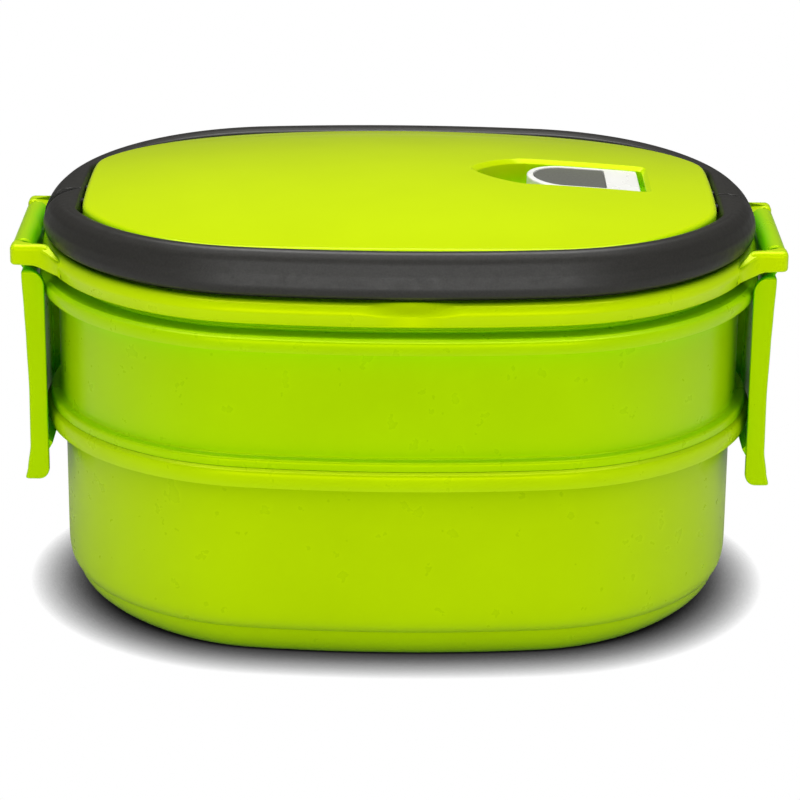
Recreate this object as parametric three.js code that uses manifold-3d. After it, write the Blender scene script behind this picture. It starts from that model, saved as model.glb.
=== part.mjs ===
// Two-tier bento lunch box, in millimetres, +Z up, with the origin at the centre of its base.
// X runs along the box and -Y is its front. All rims share one oval plan of four tangent arcs,
// and an inset is a distance measured inwards from that oval, square to it.
import * as THREE from 'three';
import { mergeVertices } from 'three/addons/utils/BufferGeometryUtils.js';
import Module from 'manifold-3d';

const wasm = await Module();
wasm.setup();

// Plan of the rims
const halfLength = 97.5;
const halfDepth = 67.5;
const sideRadius = 310;
const endSteps = 16;
const sideSteps = 4;

// Fits and walls
const fitGap = 0.3;
const overrun = 5;
const tubWall = 2.4;
const steelSheet = 0.8;
const roundSides = 14;
const cornerSteps = 3;

// Lower tub
const lowerTubHeight = 55.2;
const lowerWallInset = 5.25;
const beadHeight = 5.2;
const beadChamfer = 0.7;
const beadRound = 0.8;
const mouthInset = 6.6;
const bowlTop = 26;
const bowlDraw = 1.95;
const bowlPowerShare = 8.8;
const bowlDropShares = [0, 0.5, 0.7, 0.85, 0.94, 1];
const footHeight = 8.3;
const footStep = 0.5;
const footDraw = 3.8;
const footEndDraw = 8.8;
const footFlat = 4;
const baseRecess = 1.2;
const innerCornerDraw = 6.7;
const innerCornerHeight = 6;

// Steel food liners
const linerInset = 10.5;
const linerFloorGap = 0.9;
const linerCornerDraw = 7;
const linerCornerHeight = 9.4;

// Upper tub
const upperTubHeight = 36.3;
const upperWallInset = 4;
const plugDepth = 2.1;
const sealHeight = 2.2;
const sealWidth = 2.6;
const seatRibInset = 2.6;
const seatRibHeight = 2.1;
const flangeHeight = 4.2;
const flangeOutset = 0.9;
const flangeRound = 1;
const neckInset = 6;
const neckHeight = 3.8;
const neckRibCount = 3;
const neckRibDepth = 0.4;
const neckRibPitch = 1;

// Lid base
const gasketHeight = 1.4;
const gasketWidth = 3.5;
const gasketInset = 6.5;
const gasketProud = 1;
const deckThickness = 2.2;
const lidRimRise = 3;
const lidRimWidth = 2.4;
const lidRimRound = 1;
const skirtDrop = 3.5;
const skirtWall = 3.2;
const skirtTaper = 1.1;
const skirtRound = 0.6;
const ventHoleRadius = 2;
const ventChimneyWall = 2;
const notchOffset = 3.3;
const notchHalfWidth = 10.2;
const notchHeight = 4;
const notchDepth = 2;
const trayInset = 12;
const trayDepth = 4.2;
const trayWall = 1.5;

// Arms that carry the latches
const armHalfSpan = 24.9;
const armThickness = 6.2;
const armReach = 6.5;
const armRootInset = 2;
const armHeight = 5.7;
const armRise = 2.2;
const armRound = 1.5;
const armFillet = 5;
const filletSteps = 5;
const latchPivotReach = 3.6;
const latchPivotDrop = 3.2;

// Latches
const latchLength = 63.8;
const latchHalfWidth = 24;
const latchFaceOut = 0.1;
const latchBow = 1.2;
const latchWeb = 1.8;
const latchRib = 2.2;
const latchRibDepth = 4.9;
const latchToe = 3;
const latchTipRound = 0.5;
const latchShoulder = 4.7;
const latchShoulderRound = 4.5;
const latchFaceShares = [[0.097, 0], [0.237, 0.36], [0.36, 0.64], [0.595, 1], [0.85, 0.91], [0.95, 0.18],
  [0.985, -0.27]];
const knuckleRadius = 3.2;
const pinRadius = 1.2;
const hookBite = 2.8;
const hookGap = 0.66;
const hookSlopeShare = 1.018;
const hookDrop = 4.4;
const hookBack = 2.6;

// Crowned lid panel
const panelRise = 18.2;
const crownLongRadius = 800;
const crownCrossRadius = 310;
const panelInset = 7.8;
const panelEndInset = 12.5;
const panelWall = 2.5;
const panelEdgeRound = 1.2;
const crownRings = 4;
const crownCentreShare = 0.95;
const bossRadius = 3.2;
const bossLength = 3;

// Vent recess in the panel
const recessToPanelEnd = 18.5;
const recessStraight = 32.5;
const recessNoseLength = 13.4;
const recessHalfWidth = 11.4;
const recessNoseShare = 1.45;
const recessBevel = 1.3;
const recessBevelDepth = 1.1;
const recessFloorDrop = 8.4;
const recessFloor = 1.6;
const recessWall = 1.6;
const noseSteps = 12;

// Vent lever, its pad, pin and plug
const leverEndGap = 1.5;
const leverStraight = 20;
const leverNoseLength = 10.5;
const leverHalfWidth = 10.8;
const leverNoseShare = 2;
const leverBelowCrown = 1;
const leverFloorGap = 0.8;
const leverPivotInwards = 1.5;
const leverPivotRise = 2.1;
const leverPinRadius = 0.9;
const padMargin = 1.9;
const padEndInwards = 9.3;
const padThickness = 1.2;
const padBelowTop = 0.15;
const plugBeyondStraight = 3;
const plugNoseRadius = 1.3;
const plugRadius = 2;
const plugTaper = 0.15;
const plugRecess = 1.6;

// Half-hoop handles
const handleRise = 0.4;
const handleOutset = 0.3;
const handleThickness = 7;
const handleHeight = 12.8;
const handleEndThickness = 10.9;
const handleEndHeight = 10.8;
const handleSideShares = [[0.414, 0], [0.086, 0.094], [0, 0.242], [0.071, 0.516], [0.214, 0.828], [0.457, 1],
  [0.757, 0.969], [0.957, 0.922], [1, 0.852], [1, 0.047], [0.914, 0]];
const handleEndShares = [[0.266, 0], [0.055, 0.111], [0, 0.287], [0.046, 0.519], [0.174, 0.75], [0.376, 0.926],
  [0.706, 1], [0.927, 1], [1, 0.907], [1, 0.056], [0.927, 0]];
const handleInnerFrom = 6;
const handlePivotHalfGap = 6.5;
const handlePivotRise = 8.6;
const handleTailDrop = 8.3;
const handlePinDepth = 5.7;

// Plan arcs worked out from the driving sizes
const endRadius = (2 * sideRadius * halfDepth - halfDepth ** 2 - halfLength ** 2) / (2 * (sideRadius - halfLength));
const endCentre = halfLength - endRadius;
const sideCentre = sideRadius - halfDepth;
const joinAngle = Math.atan2(sideCentre, endCentre);

// Heights of the stack, from the table up
const beadBottom = lowerTubHeight - beadHeight;
const lowerFloor = baseRecess + tubWall;
const upperSeat = lowerTubHeight + fitGap;
const plugBottom = upperSeat - plugDepth;
const plugInset = mouthInset + fitGap;
const sealBottom = plugBottom - fitGap - sealHeight;
const lowerLinerTop = sealBottom - fitGap;
const lowerLedge = lowerLinerTop - steelSheet - fitGap;
const upperFloor = plugBottom + tubWall;
const flangeTop = upperSeat + upperTubHeight;
const flangeBottom = flangeTop - flangeHeight;
const neckTop = flangeTop + neckHeight;
const upperLinerTop = neckTop + fitGap + steelSheet;
const gasketBottom = upperLinerTop + fitGap;
const grooveTop = gasketBottom + gasketHeight + fitGap;
const lidUnderside = gasketBottom + gasketProud;
const deckTop = lidUnderside + deckThickness;
const lidRimTop = lidUnderside + lidRimRise;
const panelBottom = deckTop + fitGap;
const panelCrown = lidRimTop + panelRise;
const recessFloorTop = panelCrown - recessFloorDrop;
const leverUnderside = recessFloorTop + leverFloorGap;
const leverPivotZ = leverUnderside + leverPivotRise;
const handleBottom = lidRimTop + handleRise;
const handlePivotZ = handleBottom + handlePivotRise;
const latchPivotX = halfLength + latchPivotReach;
const latchPivotZ = lidRimTop + armRise - latchPivotDrop;
const armInner = armHalfSpan - armThickness;
const knuckleHalfWidth = armInner - fitGap;
const panelEndX = halfLength - panelEndInset;
const recessEndX = panelEndX - recessToPanelEnd;
const recessNoseX = recessEndX - recessStraight;
const leverEndX = recessEndX - leverEndGap;
const leverNoseX = leverEndX - leverStraight;
const leverPivotX = leverEndX - leverPivotInwards;
const padEndX = leverEndX - padEndInwards;
const plugX = leverNoseX - plugBeyondStraight;
const pinBore = pinRadius + fitGap;

// Outward normal angles round the plan, one quarter turn after another
function planAngleList() {
  const angles = [];
  const arcs = [[-joinAngle, joinAngle, endSteps], [joinAngle, Math.PI - joinAngle, sideSteps],
    [Math.PI - joinAngle, Math.PI + joinAngle, endSteps], [Math.PI + joinAngle, 2 * Math.PI - joinAngle, sideSteps]];
  for (const [from, to, steps] of arcs) {
    for (let i = 0; i < steps; i += 1) angles.push(from + ((to - from) * i) / steps);
  }
  return angles;
}
const planAngles = planAngleList();

// Point of the plan at an inset, with its ends cut straight at endReach where one is given
function planPoint(angle, inset, endReach = Infinity) {
  const across = Math.cos(angle);
  const along = Math.sin(angle);
  if (Math.abs(across) > Math.cos(joinAngle)) {
    const side = Math.sign(across);
    const radius = Math.min(endRadius - inset, (endReach - endCentre) / Math.abs(across));
    return [side * endCentre + radius * across, radius * along];
  }
  const radius = sideRadius - inset;
  return [radius * across, radius * along - Math.sign(along) * sideCentre];
}

// One ring of points round the plan; inset is a number or a function of the angle, height of x and y
function ring(inset, height, endReach) {
  return planAngles.map((angle) => {
    const [x, y] = planPoint(angle, typeof inset === 'function' ? inset(angle) : inset, endReach);
    return new THREE.Vector3(x, y, typeof height === 'function' ? height(x, y) : height);
  });
}

// Closed skin over a list of rings: the first ring follows the last in a hoop, else both ends are capped
function skin(rings, hoop = false) {
  const count = rings[0].length;
  const points = rings.flat();
  const triangles = [];
  const links = hoop ? rings.length : rings.length - 1;
  for (let r = 0; r < links; r += 1) {
    const low = r * count;
    const high = ((r + 1) % rings.length) * count;
    for (let i = 0; i < count; i += 1) {
      const j = (i + 1) % count;
      triangles.push(low + i, low + j, high + j, low + i, high + j, high + i);
    }
  }
  if (!hoop) {
    const last = (rings.length - 1) * count;
    for (const [start, isTop] of [[0, false], [last, true]]) {
      const centre = new THREE.Vector3();
      for (let i = 0; i < count; i += 1) centre.addScaledVector(points[start + i], 1 / count);
      points.push(centre);
      const hub = points.length - 1;
      for (let i = 0; i < count; i += 1) {
        const j = (i + 1) % count;
        if (isTop) triangles.push(hub, start + i, start + j);
        else triangles.push(hub, start + j, start + i);
      }
    }
  }
  return outward(points, triangles);
}

// Indexed geometry with its faces turned outwards
function outward(points, triangles) {
  let volume = 0;
  for (let t = 0; t < triangles.length; t += 3) {
    const [a, b, c] = [0, 1, 2].map((k) => points[triangles[t + k]]);
    volume += a.dot(b.clone().cross(c));
  }
  const order = volume < 0 ? triangles.slice().reverse() : triangles;
  const geometry = new THREE.BufferGeometry().setFromPoints(points);
  geometry.setIndex(order);
  return geometry;
}

// Rings from a list of inset and height pairs
function profileSkin(profile, hoop = false) {
  return skin(profile.map(([inset, height]) => ring(inset, height)), hoop);
}

// Quarter-ellipse corner between a wall and a floor, as inset and height pairs from the wall down
function corner(wallInset, draw, floorHeight, rise, steps) {
  const pairs = [];
  for (let i = 0; i <= steps; i += 1) {
    const turn = (Math.PI / 2) * (i / steps);
    pairs.push([wallInset + draw * (1 - Math.cos(turn)), floorHeight + rise * (1 - Math.sin(turn))]);
  }
  return pairs;
}

// Manifold solid of a closed geometry, and the way back
function solid(geometry) {
  const plain = geometry.clone();
  plain.deleteAttribute('normal');
  plain.deleteAttribute('uv');
  const merged = mergeVertices(plain);
  return new wasm.Manifold(new wasm.Mesh({
    numProp: 3,
    vertProperties: new Float32Array(merged.attributes.position.array),
    triVerts: new Uint32Array(merged.index.array),
  }));
}

function geometryOf(shape) {
  const mesh = shape.getMesh();
  const geometry = new THREE.BufferGeometry();
  geometry.setAttribute('position', new THREE.BufferAttribute(new Float32Array(mesh.vertProperties), 3));
  geometry.setIndex(new THREE.BufferAttribute(new Uint32Array(mesh.triVerts), 1));
  return geometry;
}

// Mirror image across the plane square to X or to Y
function mirrored(geometry, axis) {
  const copy = geometry.clone();
  copy.scale(axis === 'x' ? -1 : 1, axis === 'y' ? -1 : 1, 1);
  copy.setIndex(Array.from(copy.index.array).reverse());
  return copy;
}

// Round bar along one axis, centred on a point
function bar(radius, length, axis, centre) {
  const geometry = new THREE.CylinderGeometry(radius, radius, length, roundSides);
  if (axis === 'x') geometry.rotateZ(Math.PI / 2);
  if (axis === 'z') geometry.rotateX(Math.PI / 2);
  geometry.translate(...centre);
  return geometry;
}

// Plate whose outline lies in the X and Z plane, reaching from one Y to another
function plate(outline, fromY, toY) {
  const shape = outline instanceof THREE.Shape ? outline : new THREE.Shape(outline);
  const geometry = new THREE.ExtrudeGeometry(shape, { depth: toY - fromY, bevelEnabled: false, curveSegments: 5 });
  geometry.rotateX(Math.PI / 2);
  geometry.translate(0, toY, 0);
  return geometry;
}

// Height of the crowned lid at a point
function crown(x, y) {
  return panelCrown - x ** 2 / (2 * crownLongRadius) - y ** 2 / (2 * crownCrossRadius);
}

// Crown lowered by a depth
function belowCrown(depth) {
  return (x, y) => crown(x, y) - depth;
}

// Flat-ended outline with a round or pointed nose towards -X
function bullet(noseX, noseLength, halfWidth, endX, noseShare) {
  const points = [];
  for (let i = 0; i <= noseSteps; i += 1) {
    const turn = Math.PI * (0.5 + i / noseSteps);
    const power = 2 / noseShare;
    const forward = Math.abs(Math.cos(turn)) ** power;
    const sideways = Math.sign(Math.sin(turn)) * Math.abs(Math.sin(turn)) ** power;
    points.push([noseX - noseLength * forward, halfWidth * sideways]);
  }
  points.push([endX, -halfWidth], [endX, halfWidth]);
  return points;
}

// Upright block over an outline; bottom and top are heights or functions of x and y
function block(lowOutline, bottom, highOutline, top) {
  const level = (outline, height) => outline.map(([x, y]) => (
    new THREE.Vector3(x, y, typeof height === 'function' ? height(x, y) : height)));
  return skin([level(lowOutline, bottom), level(highOutline, top)]);
}

function recessOutline(grow) {
  return bullet(recessNoseX, recessNoseLength + grow, recessHalfWidth + grow, recessEndX + grow, recessNoseShare);
}

function leverOutline(inwards, endX) {
  return bullet(leverNoseX, leverNoseLength - inwards, leverHalfWidth - inwards, endX, leverNoseShare);
}

// Lower tub: foot with a small step, bowed wall, rim bead, mouth and ledge for its liner
function lowerTub() {
  const inner = lowerWallInset + tubWall;
  const crease = lowerWallInset + bowlDraw;
  const innerCornerInset = crease + tubWall;
  const profile = corner(innerCornerInset, innerCornerDraw, lowerFloor, innerCornerHeight, cornerSteps).reverse();
  profile.push([inner, bowlTop], [inner, lowerLedge], [mouthInset, lowerLedge], [mouthInset, lowerTubHeight]);
  profile.push([beadRound, lowerTubHeight], [0, lowerTubHeight - beadRound], [0, beadBottom + beadChamfer]);
  profile.push([beadChamfer, beadBottom], [lowerWallInset, beadBottom]);
  for (const share of bowlDropShares) {
    profile.push([lowerWallInset + bowlDraw * share ** bowlPowerShare, bowlTop - (bowlTop - footHeight) * share]);
  }
  const rings = profile.map(([inset, height]) => ring(inset, height));
  rings.push(...footRings(crease + footStep));
  return skin(rings);
}

// Rings of the foot from its crease down and in under the base; it draws in further at the ends
function footRings(topInset) {
  const drawn = (share, extra) => (angle) => (
    topInset + (footDraw + footEndDraw * Math.cos(angle) ** 2) * share + extra);
  const rings = [];
  for (let i = 0; i <= cornerSteps; i += 1) {
    const turn = (Math.PI / 2) * (i / cornerSteps);
    rings.push(ring(drawn(1 - Math.cos(turn), 0), (footHeight - footStep) * (1 - Math.sin(turn))));
  }
  rings.push(ring(drawn(1, footFlat), 0), ring(drawn(1, footFlat + baseRecess), baseRecess));
  return rings;
}

// Thin steel tray hung by its flange; flangeInset is the flange's outer edge
function liner(flangeInset, top, floor) {
  const inner = linerInset + steelSheet;
  const inside = corner(inner, linerCornerDraw, floor + steelSheet, linerCornerHeight, cornerSteps).reverse();
  const outside = corner(linerInset, linerCornerDraw, floor, linerCornerHeight, cornerSteps);
  const profile = [...inside, [inner, top], [flangeInset, top], [flangeInset, top - steelSheet],
    [linerInset, top - steelSheet], ...outside];
  return profileSkin(profile);
}

// Plain ring of rectangular section
function flatRing(inset, width, bottom, height) {
  return profileSkin([[inset, bottom], [inset, bottom + height], [inset + width, bottom + height],
    [inset + width, bottom]], true);
}

// Upper tub: plug and seat rib below, flange above and a neck with fine ribs that the lid closes over
function upperTub() {
  const inner = upperWallInset + tubWall;
  const neckInner = neckInset + tubWall;
  const profile = corner(inner, innerCornerDraw, upperFloor, innerCornerHeight, cornerSteps).reverse();
  profile.push([inner, flangeBottom], [neckInner, flangeBottom + tubWall], [neckInner, neckTop]);
  profile.push([neckInset, neckTop]);
  const ribsTop = flangeTop + neckRibPitch * neckRibCount;
  for (let i = 0; i < neckRibCount; i += 1) {
    profile.push([neckInset, ribsTop - neckRibPitch * i]);
    profile.push([neckInset - neckRibDepth, ribsTop - neckRibPitch * (i + 0.5)]);
  }
  profile.push([neckInset, flangeTop], [flangeRound - flangeOutset, flangeTop]);
  profile.push([-flangeOutset, flangeTop - flangeRound], [-flangeOutset, flangeBottom]);
  profile.push([upperWallInset, flangeBottom], [upperWallInset, upperSeat + seatRibHeight]);
  profile.push([seatRibInset, upperSeat + seatRibHeight], [seatRibInset, upperSeat]);
  profile.push([plugInset, upperSeat], [plugInset, plugBottom]);
  return profileSkin(profile);
}

// Arm outline in the X and Z plane with a rounded outer end
function armOutline() {
  const right = halfLength + armReach;
  const top = lidRimTop + armRise;
  const bottom = top - armHeight;
  const shape = new THREE.Shape();
  shape.moveTo(endCentre, bottom);
  shape.lineTo(right - armRound, bottom);
  shape.quadraticCurveTo(right, bottom, right, bottom + armRound);
  shape.lineTo(right, top - armRound);
  shape.quadraticCurveTo(right, top, right - armRound, top);
  shape.lineTo(endCentre, top);
  return shape;
}

// Arm outline in the X and Y plane; its outer face runs into the rim through a hollow fillet
function armPlan() {
  const right = halfLength + armReach;
  const filletReach = endRadius + armFillet;
  const filletY = armHalfSpan + armFillet;
  const filletX = endCentre + Math.sqrt(filletReach ** 2 - filletY ** 2);
  const points = [[endCentre, armInner], [right, armInner], [right, armHalfSpan]];
  const end = Math.atan2(filletY, filletX - endCentre);
  for (let i = 0; i <= filletSteps; i += 1) {
    const turn = Math.PI / 2 + (Math.PI / 2 - end) * (i / filletSteps);
    points.push([filletX + armFillet * Math.cos(turn), filletY - armFillet * Math.sin(turn)]);
  }
  const [, lastY] = points[points.length - 1];
  points.push([endCentre, lastY]);
  return points;
}

// Right back arm with its bore, cut clear of the rim's inside and of the handles that lie over the rim
function latchArm() {
  const bottom = lidRimTop - overrun;
  const top = lidRimTop + overrun;
  const plan = armPlan();
  const whole = solid(block(plan, bottom, plan, top)).intersect(
    solid(plate(armOutline(), armInner, armHalfSpan + armFillet)));
  const inside = profileSkin([[armRootInset, bottom], [armRootInset, lidRimTop], [0, lidRimTop], [0, top]]);
  const bore = bar(pinBore, armThickness + overrun, 'y', [latchPivotX, (armInner + armHalfSpan) / 2, latchPivotZ]);
  return geometryOf(whole.subtract(solid(inside)).subtract(solid(bore)));
}

// Lid base: deck, rim with skirt, gasket groove, four latch arms, thumb notch and vent chimney
function lidBase() {
  const skirtBottom = lidUnderside - skirtDrop;
  const grooveInner = gasketInset + gasketWidth + fitGap;
  const grooveOuter = gasketInset - fitGap;
  const profile = [[grooveInner, lidUnderside], [grooveInner, grooveTop], [grooveOuter, grooveTop],
    [grooveOuter, lidUnderside], [skirtWall, lidUnderside], [skirtWall, skirtBottom],
    [skirtTaper + skirtRound, skirtBottom], [skirtTaper, skirtBottom + skirtRound], [0, lidUnderside],
    [0, lidRimTop - lidRimRound], [lidRimRound, lidRimTop], [lidRimWidth, lidRimTop],
    [lidRimWidth + (lidRimTop - deckTop), deckTop]];
  let body = solid(profileSkin(profile));
  const arm = latchArm();
  const facingArm = mirrored(arm, 'y');
  for (const piece of [arm, facingArm, mirrored(arm, 'x'), mirrored(facingArm, 'x')]) body = body.add(solid(piece));
  const notchRadius = (notchHalfWidth ** 2 + notchHeight ** 2) / (2 * notchHeight);
  const notchBottom = lidRimTop - notchHeight;
  const notchReach = notchDepth + overrun;
  const notchY = -halfDepth + notchDepth - notchReach / 2;
  const notchTool = new THREE.CylinderGeometry(notchRadius, notchRadius, notchReach, roundSides * 4);
  notchTool.translate(notchOffset, notchY, notchBottom + notchRadius);
  body = body.subtract(solid(notchTool));
  const chimneyTop = recessFloorTop - recessFloor - fitGap;
  const chimneyBottom = (deckTop + lidUnderside) / 2;
  const chimney = bar(ventHoleRadius + ventChimneyWall, chimneyTop - chimneyBottom, 'z',
    [plugX, 0, (chimneyTop + chimneyBottom) / 2]);
  const passage = bar(ventHoleRadius, chimneyTop - lidUnderside + 2 * overrun, 'z',
    [plugX, 0, (chimneyTop + lidUnderside) / 2]);
  return geometryOf(body.add(solid(chimney)).subtract(solid(passage)));
}

// Lid's inner plate: a shallow inverted tray with the vent hole
function lidLiner() {
  const top = lidUnderside - fitGap;
  const tray = profileSkin([[trayInset + trayWall, top - trayWall], [trayInset + trayWall, top - trayDepth],
    [trayInset, top - trayDepth], [trayInset, top]]);
  const passage = bar(ventHoleRadius, trayDepth + overrun, 'z', [plugX, 0, top]);
  return geometryOf(solid(tray).subtract(solid(passage)));
}

// Crowned block of the lid panel, drawn in by a wall thickness
function panelBlock(wall, bottom) {
  const inset = panelInset + wall;
  const reach = panelEndX - wall;
  const edge = panelEdgeRound;
  const rings = [ring(inset, bottom, reach), ring(inset, belowCrown(wall + edge), reach),
    ring(inset + edge / 4, belowCrown(wall + edge / 4), reach - edge / 4),
    ring(inset + edge, belowCrown(wall), reach - edge)];
  const span = endRadius - inset - edge;
  for (let i = 1; i <= crownRings; i += 1) {
    const share = (crownCentreShare * i) / crownRings;
    const ringReach = endCentre + (reach - edge - endCentre) * (1 - share);
    rings.push(ring(inset + edge + span * share, belowCrown(wall), ringReach));
  }
  return solid(skin(rings));
}

// Lid panel: crowned shell with the vent recess, its bevelled lip, and bores for the pins
function lidPanel() {
  const recessBottom = recessFloorTop - recessFloor;
  const above = panelCrown + overrun;
  const pocket = recessOutline(0);
  const pocketShell = solid(block(recessOutline(recessWall), recessBottom, recessOutline(recessWall), above));
  let cavity = panelBlock(panelWall, panelBottom - overrun).subtract(pocketShell);
  const wallInside = panelEndX - panelWall;
  const bores = [];
  for (const x of [-1, 1]) {
    for (const y of [-1, 1]) {
      const at = [x * (wallInside - bossLength / 2), y * handlePivotHalfGap, handlePivotZ];
      cavity = cavity.subtract(solid(bar(bossRadius, bossLength + panelWall, 'x', at)));
      bores.push(solid(bar(pinBore, bossLength + panelWall + 2 * overrun, 'x', at)));
    }
  }
  let body = panelBlock(0, panelBottom).subtract(cavity);
  body = body.subtract(solid(block(pocket, recessFloorTop, pocket, above)));
  body = body.subtract(solid(block(pocket, belowCrown(recessBevelDepth), recessOutline(recessBevel), crown)));
  const lip = recessOutline(recessBevel);
  body = body.subtract(solid(block(lip, crown, lip, above)));
  for (const bore of bores) body = body.subtract(bore);
  const leverBore = bar(leverPinRadius + fitGap, 2 * (recessHalfWidth + overrun / 2), 'y', [leverPivotX, 0, leverPivotZ]);
  const ventHole = bar(plugRadius + fitGap, recessFloor + overrun, 'z', [plugX, 0, recessFloorTop - recessFloor / 2]);
  return geometryOf(body.subtract(solid(leverBore)).subtract(solid(ventHole)));
}

// Share of the straight inner end of a handle at a plan angle: one in the middle of an end, zero on a side
function straightEndShare(angle) {
  const sideReach = endRadius - handleOutset - handleThickness;
  const endReach = endRadius - handleOutset - handleEndThickness;
  const straight = endReach / Math.max(Math.abs(Math.cos(angle)), endReach / sideReach);
  return (sideReach - straight) / (sideReach - endReach);
}

// Full hoop that both handles are cut from; its section widens and drops towards the ends
function handleHoop() {
  const rings = handleSideShares.map(([sideIn, sideUp], k) => {
    const [endIn, endUp] = handleEndShares[k];
    return planAngles.map((angle) => {
      const sideShare = Math.abs(Math.sin(angle));
      const insetShare = k < handleInnerFrom ? sideShare : 1 - straightEndShare(angle);
      const inset = handleOutset + THREE.MathUtils.lerp(endIn * handleEndThickness, sideIn * handleThickness, insetShare);
      const rise = THREE.MathUtils.lerp(endUp * handleEndHeight, sideUp * handleHeight, sideShare);
      const [x, y] = planPoint(angle, inset);
      return new THREE.Vector3(x, y, handleBottom + rise);
    });
  });
  return skin(rings, true);
}

// Outline in the Y and Z plane, about the pivot, of the half that the front handle keeps
function handleHalfOutline() {
  const tail = handlePivotHalfGap - fitGap / 2;
  const far = halfDepth + overrun;
  const shape = new THREE.Shape();
  shape.moveTo(-far, -far);
  shape.lineTo(0, -far);
  shape.lineTo(0, -handleTailDrop);
  shape.absarc(0, 0, handleTailDrop, -Math.PI / 2, -Math.acos(tail / handleTailDrop), false);
  shape.lineTo(tail, 0);
  shape.absarc(0, 0, tail, 0, Math.PI / 2, false);
  shape.lineTo(0, far);
  shape.lineTo(-far, far);
  return shape;
}

// Front handle: half of the hoop with rounded tails and blind pin holes
function frontHandle() {
  const reach = 2 * (halfLength + overrun);
  const keep = new THREE.ExtrudeGeometry(handleHalfOutline(), { depth: reach, bevelEnabled: false, curveSegments: 8 });
  keep.applyMatrix4(new THREE.Matrix4().makeBasis(new THREE.Vector3(0, 1, 0), new THREE.Vector3(0, 0, 1),
    new THREE.Vector3(1, 0, 0)));
  keep.translate(-reach / 2, -handlePivotHalfGap, handlePivotZ);
  let body = solid(handleHoop()).intersect(solid(keep));
  const innerFace = halfLength - handleOutset - handleEndThickness;
  const depth = handlePinDepth + fitGap;
  for (const side of [-1, 1]) {
    const centre = [side * (innerFace + (depth - overrun) / 2), -handlePivotHalfGap, handlePivotZ];
    body = body.subtract(solid(bar(pinBore, depth + overrun, 'x', centre)));
  }
  return geometryOf(body);
}

// Latch section about its pivot: a bowed outer face, and a straight inner face with two rounded corners
function latchOutline(depth) {
  const face = latchFaceShares.map(([drop, bow]) => [latchFaceOut - latchBow * bow, -latchLength * drop]);
  const innerX = latchFaceOut - latchBow - depth;
  const shoulder = Math.min(latchShoulderRound, depth);
  const toe = Math.min(latchToe, depth / 2);
  const [tipX] = face[face.length - 1];
  const outline = [[latchFaceOut, -latchShoulder]];
  for (let i = 0; i <= cornerSteps; i += 1) {
    const turn = (Math.PI / 2) * (i / cornerSteps);
    outline.push([innerX + shoulder * (1 - Math.sin(turn)), -latchShoulder - shoulder * (1 - Math.cos(turn))]);
  }
  for (let i = 0; i <= cornerSteps; i += 1) {
    const turn = (Math.PI / 2) * (i / cornerSteps);
    outline.push([innerX + toe * (1 - Math.cos(turn)), toe * (1 - Math.sin(turn)) - latchLength]);
  }
  outline.push([tipX - latchTipRound, -latchLength], ...face.slice().reverse());
  return outline.map(([x, z]) => new THREE.Vector2(x, z));
}

// Section of the web between the ribs, which follows the bow of the outer face
function webOutline() {
  const face = latchFaceShares.map(([drop, bow]) => [latchFaceOut - latchBow * bow, -latchLength * drop]);
  const [tipX] = face[face.length - 1];
  const outer = [[latchFaceOut, -latchShoulder], ...face, [tipX - latchTipRound, -latchLength]];
  const inner = outer.slice().reverse().map(([x, z]) => [x - latchWeb, z]);
  return [...outer, ...inner].map(([x, z]) => new THREE.Vector2(x, z));
}

// Right latch about its pivot: knuckle, web, two side ribs and the hook under the lower tub's bead
function rightLatch() {
  const ribInnerY = latchHalfWidth - latchRib;
  const hookTipX = halfLength - beadChamfer - hookBite - latchPivotX;
  const hookTipZ = beadBottom - hookGap - hookBite * hookSlopeShare - latchPivotZ;
  const webX = latchFaceOut - latchBow - latchWeb / 2;
  const hook = [[hookTipX, hookTipZ], [hookTipX + hookBack, hookTipZ - hookDrop], [webX, hookTipZ - hookDrop],
    [webX, hookTipZ + (webX - hookTipX) * hookSlopeShare]];
  const neck = [[latchFaceOut - latchWeb, -latchShoulder - latchWeb], [latchFaceOut, -latchShoulder - latchWeb],
    [latchFaceOut, 0], [latchFaceOut - latchWeb, 0]];
  const flat = (points) => points.map(([x, z]) => new THREE.Vector2(x, z));
  let body = solid(plate(webOutline(), -latchHalfWidth, latchHalfWidth));
  for (const [from, to] of [[-latchHalfWidth, -ribInnerY], [ribInnerY, latchHalfWidth]]) {
    body = body.add(solid(plate(latchOutline(latchRibDepth), from, to)));
  }
  const hookReach = ribInnerY + latchRib / 2;
  body = body.add(solid(plate(flat(hook), -hookReach, hookReach)));
  body = body.add(solid(plate(flat(neck), -knuckleHalfWidth, knuckleHalfWidth)));
  body = body.add(solid(bar(knuckleRadius, 2 * knuckleHalfWidth, 'y', [0, 0, 0])));
  return geometryOf(body.subtract(solid(bar(pinBore, 2 * latchHalfWidth + overrun, 'y', [0, 0, 0]))));
}

// Vent lever about its pivot: a flap with a pad recess above, a plug socket below and its pin bore
function ventLever() {
  const outline = leverOutline(0, leverEndX);
  const padOutline = leverOutline(padMargin - fitGap, padEndX + fitGap);
  const padBed = leverBelowCrown + padBelowTop + padThickness + fitGap;
  let body = solid(block(outline, leverUnderside, outline, belowCrown(leverBelowCrown)));
  body = body.subtract(solid(block(padOutline, belowCrown(padBed), padOutline, panelCrown + overrun)));
  const socket = bar(plugRadius + fitGap, plugRecess + overrun, 'z',
    [plugX, 0, leverUnderside + (plugRecess - overrun) / 2]);
  const bore = bar(leverPinRadius + fitGap, 2 * (leverHalfWidth + overrun), 'y', [leverPivotX, 0, leverPivotZ]);
  const lever = geometryOf(body.subtract(solid(socket)).subtract(solid(bore)));
  return lever.translate(-leverPivotX, 0, -leverPivotZ);
}

// Grey pad let into the lever's top
function ventPad() {
  const outline = leverOutline(padMargin, padEndX);
  const top = leverBelowCrown + padBelowTop;
  return block(outline, belowCrown(top + padThickness), outline, belowCrown(top));
}

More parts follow.
